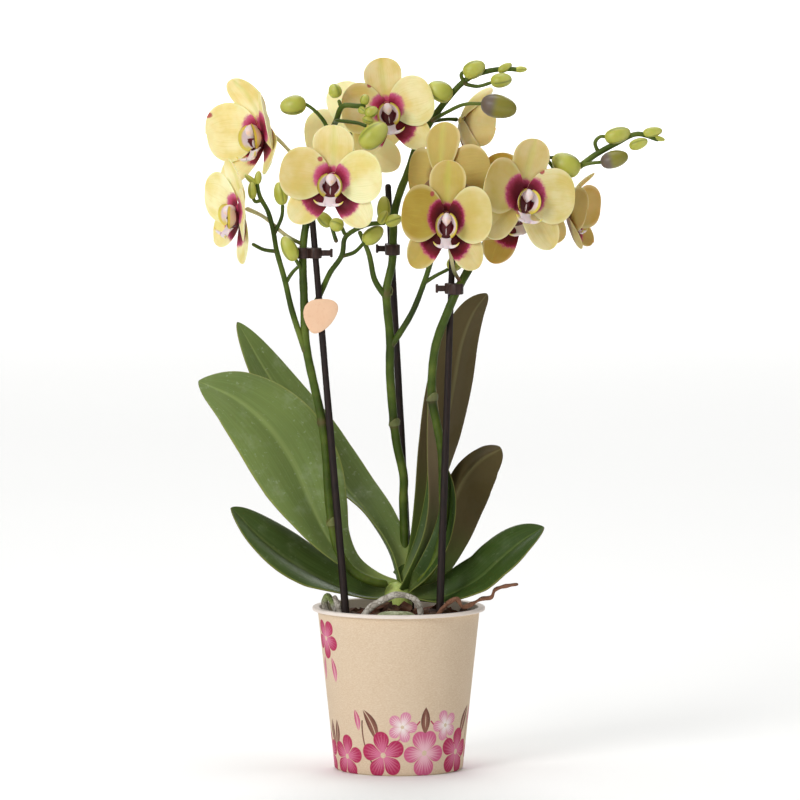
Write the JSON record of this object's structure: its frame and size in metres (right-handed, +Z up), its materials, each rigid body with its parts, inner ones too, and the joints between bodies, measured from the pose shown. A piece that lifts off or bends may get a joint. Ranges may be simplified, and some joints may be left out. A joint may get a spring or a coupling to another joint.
{
  "type": "potted orchid",
  "caption": "Potted moth orchid: strap leaves, caned flower spikes with yellow blooms that have dark red centres, and pale green buds, in a tapered pot of bark.",
  "frame": {"origin": "centre of the pot's flat base", "axes": "+Z up along the pot's axis, the plant's show side faces -Y, +X to the viewer's right"},
  "size_m": [0.2426, 0.1005, 0.3711],
  "materials": {
    "pot": "matte kraft-coloured plastic with a printed botanical band and a pale cream flange",
    "bark": "rough dark potting bark",
    "root": "matte silvery aerial root",
    "cane": "satin dark brown cane",
    "clip": "satin dark plastic clip",
    "tag": "matte peach plastic tag",
    "crown": "pale green leaf bases, satin",
    "leaf": "waxy dark green leaf with a paler midrib",
    "stem": "waxy green stem with pale green buds",
    "tepal": "soft pale yellow petals with burgundy patches at the centre",
    "lip": "white and burgundy lip with yellow margins"
  },
  "bodies": {
    "root": {"pot": "pot", "bark": "bark", "crown": "crown", "leaf_folded_centre": "leaf", "leaf_tall_right": "leaf", "leaf_back_left": "leaf", "leaf_short_right": "leaf", "leaf_inner_right": "leaf", "leaf_broad_left": "leaf", "leaf_lower_right": "leaf", "leaf_lower_left": "leaf", "cane_left": "cane", "clip_left": "clip", "spike_left": "stem", "cane_middle": "cane", "clip_middle": "clip", "spike_middle": "stem", "cane_right": "cane", "clip_right": "clip", "spike_right": "stem", "tag": "tag", "bloom_a_tepals": "tepal", "bloom_a_lip": "lip", "bloom_b_tepals": "tepal", "bloom_b_lip": "lip", "bloom_c_tepals": "tepal", "bloom_c_lip": "lip", "bloom_d_tepals": "tepal", "bloom_d_lip": "lip", "bloom_e_tepals": "tepal", "bloom_e_lip": "lip", "bloom_f_tepals": "tepal", "bloom_f_lip": "lip", "bloom_g_tepals": "tepal", "bloom_g_lip": "lip", "bloom_h_tepals": "tepal", "bloom_h_lip": "lip", "bloom_i_tepals": "tepal", "bloom_i_lip": "lip", "bloom_j_tepals": "tepal", "bloom_j_lip": "lip", "bloom_k_tepals": "tepal", "bloom_k_lip": "lip", "root_arch": "root", "root_loop": "root", "root_stub": "root", "root_dry": "root"}
  },
  "joints": []
}
